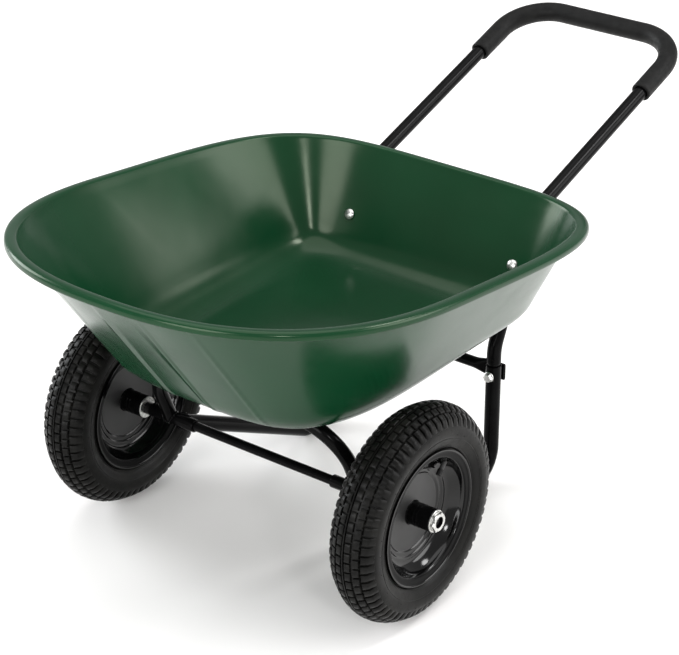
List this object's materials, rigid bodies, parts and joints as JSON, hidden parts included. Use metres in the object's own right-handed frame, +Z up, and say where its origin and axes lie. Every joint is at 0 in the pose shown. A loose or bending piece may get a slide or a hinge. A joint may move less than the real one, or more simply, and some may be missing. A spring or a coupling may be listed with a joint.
{
  "type": "garden cart",
  "caption": "Garden cart with a deep pressed steel tray on a bent-tube frame, a U handle with a foam grip, and pneumatic wheels side by side on one axle.",
  "frame": {"origin": "centre of the whole cart's bounding box, on the ground plane under it", "axes": "+Z up, +Y from the nose of the tray towards the handle, +X towards the operator's left hand"},
  "size_m": [0.6734, 1.2861, 0.5896],
  "materials": {
    "tray": "gloss deep green enamel",
    "handle_tube": "gloss black enamel",
    "foam_grip": "matt black foam",
    "leg_left": "gloss black enamel",
    "leg_right": "gloss black enamel",
    "front_arch": "gloss black enamel",
    "rear_cross_brace": "gloss black enamel",
    "brace_bolt_left": "bright zinc plate",
    "brace_nut_left": "bright zinc plate",
    "brace_bolt_right": "bright zinc plate",
    "brace_nut_right": "bright zinc plate",
    "arch_bolt_left": "bright zinc plate",
    "arch_nut_left": "bright zinc plate",
    "arch_bolt_right": "bright zinc plate",
    "arch_nut_right": "bright zinc plate",
    "tray_bolt_left": "bright zinc plate",
    "tray_nut_left": "bright zinc plate",
    "tray_bolt_right": "bright zinc plate",
    "tray_nut_right": "bright zinc plate",
    "axle": "satin black",
    "axle_sleeve_left": "gloss black enamel",
    "inner_washer_left": "bright zinc plate",
    "outer_washer_left": "bright zinc plate",
    "axle_nut_left": "bright zinc plate",
    "axle_sleeve_right": "gloss black enamel",
    "inner_washer_right": "bright zinc plate",
    "outer_washer_right": "bright zinc plate",
    "axle_nut_right": "bright zinc plate",
    "tyre_left": "matt black moulded rubber",
    "inner_tube_left": "black butyl rubber",
    "rim_outer_left": "gloss black enamel",
    "rim_inner_left": "gloss black enamel",
    "hub_left": "gloss black enamel",
    "bearing_outer_left": "ground steel",
    "bearing_inner_left": "ground steel",
    "valve_stem_left": "plain brass",
    "valve_cap_left": "black plastic",
    "tyre_right": "matt black moulded rubber",
    "inner_tube_right": "black butyl rubber",
    "rim_outer_right": "gloss black enamel",
    "rim_inner_right": "gloss black enamel",
    "hub_right": "gloss black enamel",
    "bearing_outer_right": "ground steel",
    "bearing_inner_right": "ground steel",
    "valve_stem_right": "plain brass",
    "valve_cap_right": "black plastic"
  },
  "bodies": {
    "frame": {"tray": "tray", "handle_tube": "handle_tube", "foam_grip": "foam_grip", "leg_left": "leg_left", "leg_right": "leg_right", "front_arch": "front_arch", "rear_cross_brace": "rear_cross_brace", "brace_bolt_left": "brace_bolt_left", "brace_nut_left": "brace_nut_left", "brace_bolt_right": "brace_bolt_right", "brace_nut_right": "brace_nut_right", "arch_bolt_left": "arch_bolt_left", "arch_nut_left": "arch_nut_left", "arch_bolt_right": "arch_bolt_right", "arch_nut_right": "arch_nut_right", "tray_bolt_left": "tray_bolt_left", "tray_nut_left": "tray_nut_left", "tray_bolt_right": "tray_bolt_right", "tray_nut_right": "tray_nut_right", "axle": "axle", "axle_sleeve_left": "axle_sleeve_left", "inner_washer_left": "inner_washer_left", "outer_washer_left": "outer_washer_left", "axle_nut_left": "axle_nut_left", "axle_sleeve_right": "axle_sleeve_right", "inner_washer_right": "inner_washer_right", "outer_washer_right": "outer_washer_right", "axle_nut_right": "axle_nut_right"},
    "left_wheel": {"tyre_left": "tyre_left", "inner_tube_left": "inner_tube_left", "rim_outer_left": "rim_outer_left", "rim_inner_left": "rim_inner_left", "hub_left": "hub_left", "bearing_outer_left": "bearing_outer_left", "bearing_inner_left": "bearing_inner_left", "valve_stem_left": "valve_stem_left", "valve_cap_left": "valve_cap_left"},
    "right_wheel": {"tyre_right": "tyre_right", "inner_tube_right": "inner_tube_right", "rim_outer_right": "rim_outer_right", "rim_inner_right": "rim_inner_right", "hub_right": "hub_right", "bearing_outer_right": "bearing_outer_right", "bearing_inner_right": "bearing_inner_right", "valve_stem_right": "valve_stem_right", "valve_cap_right": "valve_cap_right"}
  },
  "joints": [
    {"name": "left_wheel_spin", "type": "hinge", "parent": "frame", "child": "left_wheel", "pos_m": [0.271, -0.3006, 0.165], "axis": [1, 0, 0], "continuous": true},
    {"name": "right_wheel_spin", "type": "hinge", "parent": "frame", "child": "right_wheel", "pos_m": [-0.271, -0.3006, 0.165], "axis": [1, 0, 0], "continuous": true}
  ]
}
